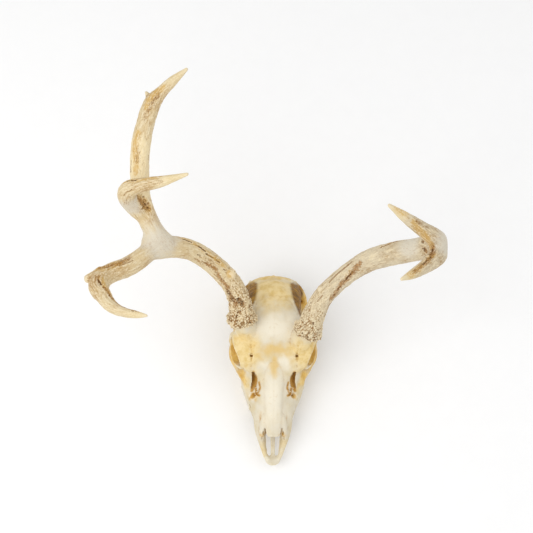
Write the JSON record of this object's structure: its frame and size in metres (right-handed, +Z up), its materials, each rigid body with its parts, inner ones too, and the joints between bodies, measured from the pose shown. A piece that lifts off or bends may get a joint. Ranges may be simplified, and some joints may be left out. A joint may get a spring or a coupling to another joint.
{
  "type": "deer skull with antlers",
  "caption": "Life-size still model of a deer skull with branching antlers and no lower jaw, lying on its cheek teeth and neck processes",
  "frame": {"origin": "centre of the bounding box in plan, at the level of the surface that the skull lies on", "axes": "+Z up, nose towards -Y, the animal's own left towards +X"},
  "size_m": [0.4368, 0.434, 0.3397],
  "materials": {
    "bone": null,
    "antler": null
  },
  "bodies": {
    "root": {"premaxilla": "bone", "upper_jaw": "bone", "nasal_bones": "bone", "forehead": "bone", "braincase": "bone", "right_cheek_arch": "bone", "left_cheek_arch": "bone", "right_antler_beam": "antler", "right_antler_rear_branch": "antler", "right_antler_side_tine": "antler", "right_antler_front_branch": "antler", "left_antler_beam": "antler", "left_antler_rear_tine": "antler", "left_antler_front_tine": "antler"}
  },
  "joints": []
}
